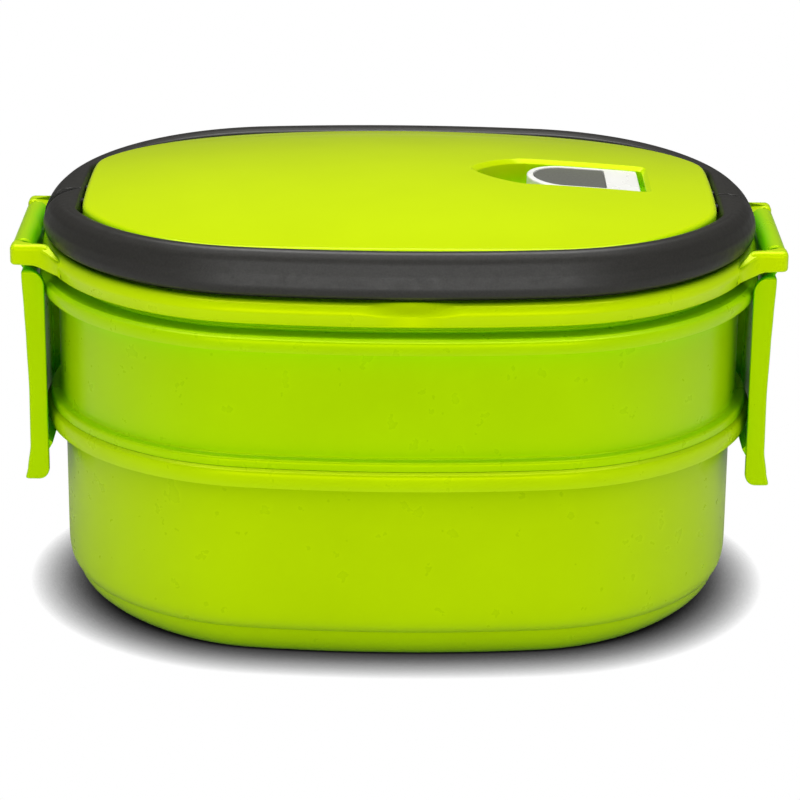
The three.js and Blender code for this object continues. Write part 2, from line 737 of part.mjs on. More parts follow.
// Rubber plug under the lever, tapered where it enters the vent hole
function ventPlug() {
  const top = leverUnderside + plugRecess - fitGap;
  const shoulder = recessFloorTop + plugTaper;
  const profile = [[0, recessFloorTop - recessFloor + plugTaper], [plugNoseRadius, recessFloorTop - recessFloor + plugTaper],
    [plugRadius - plugTaper, shoulder], [plugRadius, shoulder + plugTaper], [plugRadius, top], [0, top]];
  const geometry = new THREE.LatheGeometry(profile.map(([r, z]) => new THREE.Vector2(r, z)), roundSides);
  return geometry.rotateX(Math.PI / 2);
}

// Colours and finishes
const finishes = {
  lime: { color: 0xaadc00, roughness: 0.35, metalness: 0 },
  limePanel: { color: 0xccec00, roughness: 0.12, metalness: 0 },
  grey: { color: 0x39393a, roughness: 0.55, metalness: 0 },
  white: { color: 0xf2f2ee, roughness: 0.3, metalness: 0 },
  pad: { color: 0x66665f, roughness: 0.6, metalness: 0 },
  seal: { color: 0xe8ead8, roughness: 0.6, metalness: 0 },
  steel: { color: 0xc8c8c8, roughness: 0.3, metalness: 1 },
};

const box = new THREE.Group();

// Adds one named piece with its own material
function addPiece(name, geometry, finish, place = [0, 0, 0], parent = box) {
  geometry.computeVertexNormals();
  const mesh = new THREE.Mesh(geometry, new THREE.MeshStandardMaterial(finishes[finish]));
  mesh.name = name;
  mesh.position.set(...place);
  parent.add(mesh);
  return mesh;
}

addPiece('lower_tub', lowerTub(), 'lime');
addPiece('lower_liner', liner(plugInset, lowerLinerTop, lowerFloor + linerFloorGap), 'steel');
addPiece('tier_seal', flatRing(plugInset, sealWidth, sealBottom, sealHeight), 'seal');
addPiece('upper_tub', upperTub(), 'lime');
addPiece('upper_liner', liner(neckInset + neckRibDepth, upperLinerTop, upperFloor + linerFloorGap), 'steel');

const lid = new THREE.Group();
box.add(lid);
addPiece('lid_gasket', flatRing(gasketInset, gasketWidth, gasketBottom, gasketHeight), 'seal', [0, 0, 0], lid);
addPiece('lid_base', lidBase(), 'lime', [0, 0, 0], lid);
addPiece('lid_liner', lidLiner(), 'lime', [0, 0, 0], lid);
addPiece('lid_panel', lidPanel(), 'limePanel', [0, 0, 0], lid);

const front = frontHandle();
addPiece('front_handle', front, 'grey', [0, 0, 0], lid);
addPiece('back_handle', mirrored(front, 'y'), 'grey', [0, 0, 0], lid);
const handlePinStart = panelEndX - panelWall - bossLength + fitGap;
const handlePinEnd = halfLength - handleOutset - handleEndThickness + handlePinDepth;
for (const [name, x, y] of [['front_left', -1, -1], ['front_right', 1, -1], ['back_left', -1, 1], ['back_right', 1, 1]]) {
  const pin = bar(pinRadius, handlePinEnd - handlePinStart, 'x', [0, 0, 0]);
  const at = [x * (handlePinStart + handlePinEnd) / 2, y * handlePivotHalfGap, handlePivotZ];
  addPiece(`${name}_handle_pin`, pin, 'steel', at, lid);
}

const latch = rightLatch();
addPiece('right_latch', latch, 'lime', [latchPivotX, 0, latchPivotZ], lid);
addPiece('left_latch', mirrored(latch, 'x'), 'lime', [-latchPivotX, 0, latchPivotZ], lid);
for (const [name, side] of [['left', -1], ['right', 1]]) {
  const pin = bar(pinRadius, 2 * (armHalfSpan - fitGap), 'y', [0, 0, 0]);
  addPiece(`${name}_latch_pin`, pin, 'steel', [side * latchPivotX, 0, latchPivotZ], lid);
}

addPiece('vent_lever', ventLever(), 'white', [leverPivotX, 0, leverPivotZ], lid);
addPiece('vent_pad', ventPad(), 'pad', [0, 0, 0], lid);
addPiece('vent_plug', ventPlug(), 'seal', [plugX, 0, 0], lid);
const leverPin = bar(leverPinRadius, 2 * (recessHalfWidth + recessWall - fitGap), 'y', [0, 0, 0]);
addPiece('vent_pin', leverPin, 'steel', [leverPivotX, 0, leverPivotZ], lid);

export default box;
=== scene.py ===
from math import asin, atan2, cos, pi, radians, sin, sqrt

import bmesh
import bpy
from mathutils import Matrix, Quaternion, Vector


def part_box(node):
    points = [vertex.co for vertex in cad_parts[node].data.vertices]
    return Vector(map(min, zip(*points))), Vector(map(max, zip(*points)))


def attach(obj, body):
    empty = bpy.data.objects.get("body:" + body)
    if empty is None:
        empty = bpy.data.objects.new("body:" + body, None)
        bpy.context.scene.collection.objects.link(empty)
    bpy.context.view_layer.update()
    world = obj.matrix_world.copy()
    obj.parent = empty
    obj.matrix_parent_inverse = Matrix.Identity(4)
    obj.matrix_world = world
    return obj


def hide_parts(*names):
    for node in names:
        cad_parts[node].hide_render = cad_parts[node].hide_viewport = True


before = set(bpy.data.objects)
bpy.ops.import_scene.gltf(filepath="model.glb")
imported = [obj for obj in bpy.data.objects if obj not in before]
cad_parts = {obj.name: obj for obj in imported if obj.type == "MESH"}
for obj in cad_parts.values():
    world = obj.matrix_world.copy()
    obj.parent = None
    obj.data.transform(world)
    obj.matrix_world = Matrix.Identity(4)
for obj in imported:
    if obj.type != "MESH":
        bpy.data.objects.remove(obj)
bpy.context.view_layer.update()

# Lengths below are in millimetres, in the row frame: X along the box, -Y its front, +Z up
MM = 0.001


def corners(node):
    """Lowest and highest corner of a CAD node, in millimetres."""
    low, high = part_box(node)
    return Vector(low) / MM, Vector(high) / MM


# Driving sizes read from the frame
lower_high = corners("lower_tub")[1]
upper_low, upper_high = corners("upper_tub")
lid_low = corners("lid_base")[0]
panel_low, panel_high = corners("lid_panel")
HALF_LENGTH = lower_high.x
HALF_DEPTH = lower_high.y
SIDE_RADIUS = 310
END_RADIUS = ((2 * SIDE_RADIUS * HALF_DEPTH - HALF_DEPTH ** 2 - HALF_LENGTH ** 2)
              / (2 * (SIDE_RADIUS - HALF_LENGTH)))
END_CENTRE = HALF_LENGTH - END_RADIUS
SIDE_CENTRE = SIDE_RADIUS - HALF_DEPTH
JOIN_ANGLE = atan2(SIDE_CENTRE, END_CENTRE)
END_STEPS = 120
SIDE_STEPS = 56
END_BLEND = 1.6
FIT_GAP = 0.3
TINY = 1e-6

# Walls and insets shared by several pieces
TUB_WALL = 2.4
STEEL = 0.8
LOWER_WALL = 5.25
UPPER_WALL = 4.0
MOUTH = 6.6
NECK = 6.0
LINER = 10.5

# How far the curve between a wall and a floor reaches inwards and upwards
TUB_DRAW, TUB_RISE = 6.7, 6.0
LINER_DRAW, LINER_RISE = 7, 9.4
FOOT_DRAW_SIDE, FOOT_DRAW_END = 3.8, 12.6

# Pins
PIN_RADIUS = 1.2
VENT_PIN_RADIUS = 0.9

# Heights of the stack
LOWER_TOP = lower_high.z
BEAD_HEIGHT = 5.2
BEAD_BOTTOM = LOWER_TOP - BEAD_HEIGHT
UPPER_SEAT = LOWER_TOP + FIT_GAP
PLUG_BOTTOM = upper_low.z
NECK_TOP = upper_high.z
NECK_HEIGHT = 3.8
FLANGE_TOP = NECK_TOP - NECK_HEIGHT
FLANGE_HEIGHT = 4.2
FLANGE_OUTSET = 0.9
SKIRT_BOTTOM = lid_low.z
ARM_RISE = 2.2
RIM_TOP = SKIRT_BOTTOM + 6.5
ARM_TOP = RIM_TOP + ARM_RISE
UNDERSIDE = SKIRT_BOTTOM + 3.5
DECK_TOP = panel_low.z - FIT_GAP
CROWN = panel_high.z
CROWN_LONG = 800
CROWN_CROSS = 310


# Shapes

def plan_angles():
    """Outward normal angles round the plan, from one join of its arcs to the next."""
    joins = (-JOIN_ANGLE, JOIN_ANGLE, pi - JOIN_ANGLE, pi + JOIN_ANGLE, 2 * pi - JOIN_ANGLE)
    counts = (END_STEPS, SIDE_STEPS, END_STEPS, SIDE_STEPS)
    return [start + (end - start) * i / steps
            for start, end, steps in zip(joins, joins[1:], counts) for i in range(steps)]


ANGLES = plan_angles()


def eased(share):
    """Share held between 0 and 1, with a soft start and end."""
    share = min(1, max(0, share))
    return share * share * (3 - 2 * share)


def soft_least(a, b, blend):
    """The smaller of two lengths, with the change from one to the other rounded over blend."""
    return (a + b - sqrt((a - b) ** 2 + blend ** 2)) / 2


def at_end(angle):
    """Whether a normal angle belongs to one of the plan's end arcs."""
    return abs(cos(angle)) > cos(JOIN_ANGLE) - 1e-9


def plan_point(angle, inset, end_reach=None):
    """Point of the plan at an inset; its ends are cut straight at end_reach where one is given."""
    across, along = cos(angle), sin(angle)
    if at_end(angle):
        radius = END_RADIUS - inset
        if end_reach is not None:
            radius = soft_least(radius, (end_reach - END_CENTRE) / max(abs(across), TINY), END_BLEND)
        side = 1 if across > 0 else -1
        return side * END_CENTRE + radius * across, radius * along
    radius = SIDE_RADIUS - inset
    return radius * across, radius * along - (SIDE_CENTRE if along > 0 else -SIDE_CENTRE)


def ring(inset, height, end_reach=None):
    """Ring of points round the plan; height is a number or a function of x and y."""
    points = []
    for angle in ANGLES:
        x, y = plan_point(angle, inset, end_reach)
        points.append((x, y, height(x, y) if callable(height) else height))
    return points


def rounded(path, steps=4, closed=False):
    """Path of (a, b) or (a, b, radius) points with its corners rounded."""
    result = []
    count = len(path)
    for k, point in enumerate(path):
        here = Vector(point[:2])
        radius = point[2] if len(point) > 2 else 0
        if radius == 0 or (not closed and k in (0, count - 1)):
            result.append(tuple(here))
            continue
        before = Vector(path[k - 1][:2]) - here
        after = Vector(path[(k + 1) % count][:2]) - here
        half = before.angle(after) / 2
        cut = radius / max(sin(half) / max(cos(half), TINY), TINY)
        cut = min(cut, 0.48 * before.length, 0.48 * after.length)
        start = here + before.normalized() * cut
        end = here + after.normalized() * cut
        for i in range(steps + 1):
            t = i / steps
            spot = start * (1 - t) ** 2 + here * 2 * t * (1 - t) + end * t ** 2
            result.append(tuple(spot))
    return result


def bowed(inset, top, bottom):
    """Outer face of a bead from its top to its bottom, bowed outwards, as (inset, height, radius) points."""
    bow, steps, lip, shoulder = 0.5, 10, 0.9, 0.55
    path = [(inset + bow + lip, top, 0.3)]
    for i in range(steps + 1):
        share = 1 - 2 * i / steps
        drop = shoulder * max(0, 1 - i / 2)
        path.append((inset + bow * share ** 2, top + (bottom - top) * i / steps - drop, 0))
    return path


def elbow(wall, draw, floor, rise, steps=12):
    """Quarter-ellipse from a wall down to a floor, as (inset, height) points."""
    turns = [pi / 2 * i / steps for i in range(steps + 1)]
    return [(wall + draw * (1 - cos(t)), floor + rise * (1 - sin(t))) for t in turns]


def build(name, points, faces, smooth_angle=34):
    """Mesh object in metres from points in millimetres, faces turned outwards and smooth."""
    mesh = bpy.data.meshes.new(name)
    mesh.from_pydata([(x * MM, y * MM, z * MM) for x, y, z in points], [], faces)
    shape = bmesh.new()
    shape.from_mesh(mesh)
    bmesh.ops.triangulate(shape, faces=[face for face in shape.faces if len(face.verts) > 4])
    bmesh.ops.recalc_face_normals(shape, faces=shape.faces)
    shape.to_mesh(mesh)
    shape.free()
    piece = bpy.data.objects.new(name, mesh)
    bpy.context.collection.objects.link(piece)
    smooth(piece, smooth_angle)
    return piece


def smooth(piece, angle=34):
    """Smooth shading with sharp edges kept above an angle in degrees."""
    piece.data.shade_smooth()
    piece.data.set_sharp_from_angle(angle=radians(angle))


def apply_modifiers(piece):
    """Replaces a piece's mesh by the result of its modifiers."""
    graph = bpy.context.evaluated_depsgraph_get()
    mesh = bpy.data.meshes.new_from_object(piece.evaluated_get(graph))
    piece.modifiers.clear()
    piece.data = mesh


def weigh_normals(piece):
    """Normals that follow the larger faces, so flats stay flat beside small roundings."""
    weigh = piece.modifiers.new("normals", "WEIGHTED_NORMAL")
    weigh.keep_sharp = True
    apply_modifiers(piece)


def join(piece, others):
    """Adds other pieces by an exact boolean and removes them."""
    for other in others:
        union = piece.modifiers.new("union", "BOOLEAN")
        union.operation = "UNION"
        union.solver = "EXACT"
        union.object = other
        apply_modifiers(piece)
        bpy.data.objects.remove(other)
    smooth(piece)


def merge(piece, others):
    """Adds other pieces to one that they reach into, each with its own closed skin."""
    whole = bmesh.new()
    for part in [piece] + others:
        whole.from_mesh(part.data)
    whole.to_mesh(piece.data)
    whole.free()
    for other in others:
        bpy.data.objects.remove(other)
    smooth(piece)


def ring_faces(count, rows, hoop=False):
    """Quads between rows of points that each close on themselves."""
    faces = []
    links = rows if hoop else rows - 1
    for r in range(links):
        low, high = r * count, ((r + 1) % rows) * count
        for i in range(count):
            j = (i + 1) % count
            faces.append((low + i, low + j, high + j, high + i))
    return faces


def skin(name, rings, hoop=False, smooth_angle=34):
    """Closed body over rings: a hoop closes on itself, otherwise both ends get a flat cap."""
    count = len(rings[0])
    points = [point for line in rings for point in line]
    faces = ring_faces(count, len(rings), hoop)
    if not hoop:
        faces.append(tuple(range(count)))
        faces.append(tuple(range((len(rings) - 1) * count, len(rings) * count)))
    return build(name, points, faces, smooth_angle)


def swept(name, path, hoop=False, end_path=None):
    """Body from an (inset, height, radius) path carried round the plan, with end_path at the ends."""
    sides = rounded(path, closed=hoop)
    ends = rounded(end_path, closed=hoop) if end_path else sides
    rings = []
    for (side_in, side_z), (end_in, end_z) in zip(sides, ends):
        line = []
        for angle in ANGLES:
            mix = cos(angle) ** 2
            x, y = plan_point(angle, side_in + (end_in - side_in) * mix)
            line.append((x, y, side_z + (end_z - side_z) * mix))
        rings.append(line)
    return skin(name, rings, hoop)


def round_bar(name, radius, length, axis, centre):
    """Round pin with broken edges along one axis."""
    chamfer, sides, half = 0.2, 40, length / 2
    rings = []
    for reach, size in ((-half, radius - chamfer), (-half + chamfer, radius), (half - chamfer, radius),
                        (half, radius - chamfer)):
        line = []
        for i in range(sides):
            turn = 2 * pi * i / sides
            a, b = size * cos(turn), size * sin(turn)
            spot = {"x": (reach, a, b), "y": (a, reach, b), "z": (a, b, reach)}[axis]
            line.append(tuple(Vector(spot) + Vector(centre)))
        rings.append(line)
    return skin(name, rings)


def mirror(piece, name, axis):
    """Mirror image of a piece across the plane square to one axis."""
    mesh = piece.data.copy()
    twin = bpy.data.objects.new(name, mesh)
    bpy.context.collection.objects.link(twin)
    for vertex in mesh.vertices:
        vertex.co[axis] = -vertex.co[axis]
    mesh.flip_normals()
    smooth(twin)
    return twin


def crown(x, y):
    """Height of the crowned lid."""
    return CROWN - x ** 2 / (2 * CROWN_LONG) - y ** 2 / (2 * CROWN_CROSS)


def below_crown(drop):
    return lambda x, y: crown(x, y) - drop


# Tubs, liners and seals

def lower_tub_path(foot_draw):
    """Section of the lower tub from the middle of its inner floor, over the rim, to its base."""
    inner = LOWER_WALL + TUB_WALL
    bowl_top, bowl_draw, bowl_power, bowl_steps = 26, 1.95, 8.8, 28
    foot_height, foot_step, foot_width = 7.5, 0.5, 4
    base_hollow, base_middle, seal_space = 1.2, 32, 2.2
    crease = LOWER_WALL + bowl_draw
    ledge = PLUG_BOTTOM - 2 * FIT_GAP - seal_space - STEEL - FIT_GAP
    path = elbow(crease + TUB_WALL, TUB_DRAW, base_hollow + TUB_WALL, TUB_RISE)[::-1]
    path += [(inner, bowl_top, 20), (inner, ledge, 0.2), (MOUTH, ledge, 0.2), (MOUTH, LOWER_TOP, 0.5)]
    path += bowed(0, LOWER_TOP, BEAD_BOTTOM) + [(LOWER_WALL, BEAD_BOTTOM, 0.8)]
    for i in range(bowl_steps + 1):
        share = i / bowl_steps
        height = bowl_top - (bowl_top - foot_height) * share
        path.append((LOWER_WALL + bowl_draw * share ** bowl_power, height))
    path.append((crease + foot_step * 0.8, foot_height - 0.15, 0.15))
    path += elbow(crease + foot_step, foot_draw, 0, foot_height - 0.4, 16)
    base = crease + foot_step + foot_draw + foot_width
    return path + [(base, 0, 0.4), (base + base_hollow, base_hollow, 0.4), (base_middle, base_hollow)]


def make_lower_tub():
    side_path, end_path = lower_tub_path(FOOT_DRAW_SIDE), lower_tub_path(FOOT_DRAW_END)
    return swept("lower_tub_shell", side_path, end_path=end_path)


def make_liner(name, node, flange_inset):
    low, high = corners(node)
    inner = LINER + STEEL
    path = elbow(inner, LINER_DRAW, low.z + STEEL, LINER_RISE)[::-1]
    path += [(inner, high.z, 0.9), (flange_inset, high.z, 0.3), (flange_inset, high.z - STEEL, 0.3)]
    path += [(LINER, high.z - STEEL, 0.5)]
    path += elbow(LINER, LINER_DRAW, low.z, LINER_RISE)
    return swept(name, path)


def make_seal(name, node, width):
    low, high = corners(node)
    inset = HALF_LENGTH - high.x
    middle = (low.z + high.z) / 2
    path = [(inset, low.z, 0.5), (inset, high.z, 0.5)]
    path += [(inset + width, height, 0.5) for height in (high.z, middle, low.z)]
    return swept(name, path, hoop=True)


def make_upper_tub():
    inner = UPPER_WALL + TUB_WALL
    neck_inner = NECK + TUB_WALL
    flange_bottom = FLANGE_TOP - FLANGE_HEIGHT
    plug = MOUTH + FIT_GAP
    rib_top, rib_bottom, rib_inset = UPPER_SEAT + 2.3, LOWER_TOP + 0.05, 1.3
    threads, thread_out = 3, NECK - 0.4
    path = elbow(inner, TUB_DRAW, PLUG_BOTTOM + TUB_WALL, TUB_RISE)[::-1]
    path += [(inner, flange_bottom, 1.0), (neck_inner, flange_bottom + TUB_WALL, 1.0)]
    path += [(neck_inner, NECK_TOP, 0.4), (NECK, NECK_TOP, 0.4)]
    for i in range(threads):
        height = FLANGE_TOP + threads - i
        path += [(NECK, height, 0.1), (thread_out, height - 0.35, 0.12), (thread_out, height - 0.65, 0.12)]
    path += [(NECK, FLANGE_TOP, 0.3)] + bowed(-FLANGE_OUTSET, FLANGE_TOP, flange_bottom)
    path += [(UPPER_WALL, flange_bottom, 0.9), (UPPER_WALL, rib_top, 0.8), (rib_inset, rib_top - 0.1, 1.0)]
    path += [(rib_inset, rib_bottom, 0.1), (plug, rib_bottom, 0.1)]
    path += [(plug, PLUG_BOTTOM, 0.4), (20, PLUG_BOTTOM)]
    return swept("upper_tub_shell", path)


# Lid

PLATE_MIDDLE = 30
NOTCH_X, NOTCH_HALF, NOTCH_DROP, NOTCH_DEPTH, NOTCH_INSET = 3.3, 13.0, 5.4, 2.4, 3


def notch_dent(x, y, z):
    """How far the thumb scoop in the front of the rim draws the surface inwards."""
    if y > 0 or z < RIM_TOP - NOTCH_DROP:
        return 0
    reach = ((x - NOTCH_X) / NOTCH_HALF) ** 2 + ((RIM_TOP - z) / NOTCH_DROP) ** 2
    return NOTCH_DEPTH * max(0, 1 - reach) ** 1.5


ARM_SPAN, ARM_THICK, ARM_HEIGHT, ARM_REACH, ARM_FILLET = 24.9, 6.2, 5.7, 104.0, 8.0
ARM_ROOT_POINTS, ROOT_DEPTH = 9, 0.5
ARM_RAMP_UNDER, ARM_RAMP_OVER = 6.5, 3.0


def offset_outline(outline, distance, fixed=0):
    """Closed outline moved inwards, square to its own edges; its last points may stay fixed."""
    moved = []
    count = len(outline)
    for k, (x, y) in enumerate(outline):
        before, after = outline[k - 1], outline[(k + 1) % count]
        along = Vector((after[0] - before[0], after[1] - before[1])).normalized()
        shift = 0 if k >= count - fixed else distance
        moved.append((x - along.y * shift, y + along.x * shift))
    return moved


def arm_outline():
    """Outline of the right back arm in plan, from a hollow fillet at the rim round to its root."""
    inner = ARM_SPAN - ARM_THICK
    centre_y = ARM_SPAN + ARM_FILLET
    centre_x = END_CENTRE + sqrt((END_RADIUS + ARM_FILLET) ** 2 - centre_y ** 2)
    end = atan2(centre_y, centre_x - END_CENTRE)
    path = [(ARM_REACH, inner, 2.0), (ARM_REACH, ARM_SPAN, 2.0)]
    for i in range(25):
        turn = pi / 2 + (pi / 2 - end) * i / 24
        path.append((centre_x + ARM_FILLET * cos(turn), centre_y - ARM_FILLET * sin(turn)))
    reach = END_RADIUS - ROOT_DEPTH
    start, stop = asin(path[-1][1] / reach), asin(inner / reach)
    root = [start + (stop - start) * i / (ARM_ROOT_POINTS - 1) for i in range(ARM_ROOT_POINTS)]
    path += [(END_CENTRE + reach * cos(a), reach * sin(a)) for a in root]
    return rounded(path, 8, True)


def arm_height(x, y, share):
    """Height of the arm's underside at share 0 or its top at share 1; the root meets the rim's edges."""
    ramp_length = ARM_RAMP_OVER if share else ARM_RAMP_UNDER
    reach = sqrt((abs(x) - END_CENTRE) ** 2 + y ** 2) - END_RADIUS + ROOT_DEPTH
    out = eased(reach / ramp_length)
    root = RIM_TOP - 1.2 if share else SKIRT_BOTTOM + 0.8
    free = ARM_TOP - ARM_HEIGHT * (1 - share)
    return root + (free - root) * out


def make_arm():
    """Right back arm with rounded edges, running into the rim's outer face."""
    outline = arm_outline()
    steps, under, over = 8, 0.9, 1.6
    turns = [pi / 2 * i / steps for i in range(steps + 1)]
    rings = []
    for share, edge, order in ((0, under, turns), (1, over, turns[::-1])):
        for t in order:
            moved = offset_outline(outline, edge * (1 - sin(t)), ARM_ROOT_POINTS)
            inwards = (1 - 2 * share) * edge * (1 - cos(t))
            heights = [arm_height(x, y, share) + inwards for x, y in outline]
            rings.append([(x, y, height) for (x, y), height in zip(moved, heights)])
    return skin("arm", rings)


def make_lid_base():
    groove_in, groove_out, groove_top = 10.3, 6.2, UNDERSIDE + 0.7
    skirt, rim_width, rim_fall, rim_steps = 3.2, 2.4, 3.0, 12
    path = [(PLATE_MIDDLE, UNDERSIDE), (groove_in, UNDERSIDE, 0.2), (groove_in, groove_top, 0.2)]
    path += [(groove_out, groove_top, 0.2), (groove_out, UNDERSIDE, 0.2), (skirt, UNDERSIDE, 0.6)]
    path += [(skirt, SKIRT_BOTTOM, 0.3), (1.1, SKIRT_BOTTOM, 0.8), (0.15, UNDERSIDE - 0.4, 2)]
    turns = [pi / 2 * i / rim_steps for i in range(rim_steps + 1)]
    path += [(rim_width * (1 - cos(t)), RIM_TOP - rim_fall * (1 - sin(t))) for t in turns]
    path += [(rim_width + 0.5, RIM_TOP, 0.2), (skirt, DECK_TOP, 0.3), (PLATE_MIDDLE, DECK_TOP)]
    rings = []
    for inset, height in rounded(path, 6):
        line = []
        for x, y, z in ring(inset, height):
            line.append((x, y + notch_dent(x, y, z) * max(0, 1 - inset / NOTCH_INSET), z))
        rings.append(line)
    base = skin("lid_base_shell", rings)
    arm = make_arm()
    arms = [arm, mirror(arm, "arm_b", 0)]
    arms += [mirror(arms[0], "arm_c", 1), mirror(arms[1], "arm_d", 1)]
    merge(base, arms)
    return base


def make_lid_liner():
    low, high = corners("lid_liner")
    inset, thick = HALF_LENGTH - high.x, 1.5
    path = [(PLATE_MIDDLE, high.z - thick), (inset + thick, high.z - thick, 0.8)]
    path += [(inset + thick, low.z, 0.5), (inset, low.z, 0.5), (inset, high.z, 1.2), (PLATE_MIDDLE, high.z)]
    return swept("lid_liner_plate", path)


# Outlines of the vent recess, its flap and the flap's inlay
RECESS = {"nose": 34.0, "length": 13.4, "half": 11.4, "end": 66.5, "power": 1.45}
LEVER = {"nose": 45.0, "length": 10.5, "half": 10.8, "end": 65.0, "power": 2.0}
INLAY_BED = {"nose": 45.0, "length": 8.8, "half": 9.1, "end": 55.9, "power": 2.0}
INLAY = {"nose": 45.0, "length": 8.6, "half": 8.9, "end": 55.7, "power": 2.0}
RECESS_MIDDLE = 48.0
RECESS_FLOOR = 110.8
FLOOR_THICK = 1.6
LEVER_DROP, INLAY_DROP = 1.0, 1.15
PLUG_X = 42.0
VENT_TURNS = [2 * pi * i / 240 for i in range(240)]


def bullet(shape, grow, corner=1.2):
    """Outline with a nose towards -X and a square end with slightly rounded corners."""
    length, half, end = shape["length"] + grow, shape["half"] + grow, shape["end"] + grow
    power = 2 / shape["power"]
    radius = max(corner + grow, 0.3)
    path = []
    steps = 60
    for i in range(steps + 1):
        turn = pi * (0.5 + i / steps)
        side = 1 if sin(turn) >= 0 else -1
        x = shape["nose"] - length * abs(cos(turn)) ** power
        path.append((x, side * half * abs(sin(turn)) ** power))
    path += [(end, -half, radius), (end, half, radius)]
    return rounded(path, 8, True)


def polar_sample(outline, directions, middle_x):
    """Points of an outline in the given directions from (middle_x, 0)."""
    edges = []
    for k, (ax, ay) in enumerate(outline):
        bx, by = outline[(k + 1) % len(outline)]
        start, end = atan2(ay, ax - middle_x), atan2(by, bx - middle_x)
        edges.append((start, end, ax - middle_x, ay, bx - middle_x, by))
    points = []
    for direction in directions:
        dx, dy = cos(direction), sin(direction)
        best = None
        for start, end, ax, ay, bx, by in edges:
            span = (end - start + pi) % (2 * pi) - pi
            into = (direction - start + pi) % (2 * pi) - pi
            if span > 0 and -1e-9 <= into <= span + 1e-9:
                ex, ey = bx - ax, by - ay
                scale = (ax * ey - ay * ex) / (dx * ey - dy * ex)
                best = (middle_x + dx * scale, dy * scale)
                break
        points.append(best)
    return points


def lift(points, height):
    return [(x, y, height(x, y) if callable(height) else height) for x, y in points]


def blend_rings(first, last, count, height):
    """Rings between two outlines, at a height given by x and y, without the first and last."""
    rings = []
    for k in range(1, count):
        t = k / count
        between = [(a[0] + (b[0] - a[0]) * t, a[1] + (b[1] - a[1]) * t) for a, b in zip(first, last)]
        rings.append(lift(between, height))
    return rings


def above_floor(drop):
    """Height at a drop below the crown, but no lower than the recess floor."""
    return lambda x, y: max(crown(x, y) - drop, RECESS_FLOOR)


def vent_outline(shape, grow, corner):
    """Outline of the flap or its inlay, with a point in each of the vent's directions."""
    return polar_sample(bullet(shape, grow, corner), VENT_TURNS, RECESS_MIDDLE)


def make_panel():
    inset, reach, wall, edge, edge_steps = 7.8, panel_high.x, 2.5, 1.3, 6
    hole_radius, recess_depth, wall_foot = 2.3, 8.4, 7
    outer = [plan_point(angle, inset, reach) for angle in ANGLES]
    directions = [atan2(y, x - RECESS_MIDDLE) for x, y in outer]
    rings = []
    hole = [(PLUG_X + hole_radius * cos(d), hole_radius * sin(d)) for d in directions]
    floor_in = polar_sample(bullet(RECESS, -0.6), directions, RECESS_MIDDLE)
    rings.append(lift(hole, RECESS_FLOOR))
    rings += blend_rings(hole, floor_in, 3, RECESS_FLOOR)
    lip = [(-0.6, recess_depth, 0), (0, recess_depth, 0.6), (0, 1.15, 0.35), (1.3, 0, 0.35), (2.6, 0, 0)]
    for grow, drop in rounded(lip, 5):
        outline = polar_sample(bullet(RECESS, grow), directions, RECESS_MIDDLE)
        rings.append(lift(outline, RECESS_FLOOR if drop > wall_foot else above_floor(drop)))
    lip_out = [(x, y) for x, y, _ in rings[-1]]
    top_edge = [plan_point(angle, inset + edge, reach - edge) for angle in ANGLES]
    rings += blend_rings(lip_out, top_edge, 30, crown)
    for i in range(edge_steps + 1):
        turn = pi / 2 * (1 - i / edge_steps)
        grow = edge * (1 - cos(turn))
        rings.append(ring(inset + grow, below_crown(edge * (1 - sin(turn))), reach - grow))
    rings.append(ring(inset, panel_low.z + 0.3, reach))
    rings.append(ring(inset + 0.3, panel_low.z, reach - 0.3))
    rings.append(ring(inset + wall, panel_low.z, reach - wall))
    rings.append(ring(inset + wall, below_crown(wall + edge), reach - wall))
    rings.append(ring(inset + wall + edge, below_crown(wall), reach - wall - edge))
    inner_top = [(x, y) for x, y, _ in rings[-1]]
    shell = polar_sample(bullet(RECESS, 1.6), directions, RECESS_MIDDLE)
    rings += blend_rings(inner_top, shell, 8, below_crown(wall))
    rings.append(lift(shell, below_crown(wall)))
    rings.append(lift(shell, RECESS_FLOOR - FLOOR_THICK))
    rings += blend_rings(shell, hole, 3, RECESS_FLOOR - FLOOR_THICK)
    rings.append(lift(hole, RECESS_FLOOR - FLOOR_THICK))
    return skin("lid_panel_shell", rings, hoop=True, smooth_angle=40)


def make_lever():
    under, corner, bed_corner = RECESS_FLOOR + 0.8, 0.8, 0.5
    bottom = rounded([(-8, 0), (0, 0, 0.6), (0, 2)], 4)
    top = rounded([(0, 1.5), (0, 0, 0.55), (-1.5, 0)], 5)[1:]
    bed = rounded([(0.8, 0), (0, 0, 0.15), (0, 1.4, 0.1), (-1, 1.4)], 3)[1:]
    rings = [lift(vent_outline(LEVER, grow, corner), under + rise) for grow, rise in bottom]
    for shape, rounding, path in ((LEVER, corner, top), (INLAY_BED, bed_corner, bed)):
        rings += [lift(vent_outline(shape, grow, rounding), below_crown(LEVER_DROP + drop))
                  for grow, drop in path]
    return skin("vent_lever_flap", rings)


def make_pad():
    corner, thick = 0.5, 1.2
    path = rounded([(-3, thick), (0, thick, 0.2), (0, 0, 0.5), (-4, 0)], 4)
    rings = [lift(vent_outline(INLAY, grow, corner), below_crown(INLAY_DROP + drop)) for grow, drop in path]
    return skin("vent_pad_inlay", rings)


def make_plug():
    low, high = corners("vent_plug")
    sides = 40
    turns = [2 * pi * i / sides for i in range(sides)]
    path = [(0.6, low.z), (1.3, low.z, 0.4), (1.85, RECESS_FLOOR + 0.1, 0.2)]
    path += [(2.0, high.z, 0.3), (1, high.z)]
    rings = []
    for radius, height in rounded(path, 4):
        rings.append([(PLUG_X + radius * cos(turn), radius * sin(turn), height) for turn in turns])
    return skin("vent_plug_stopper", rings)


# Handles

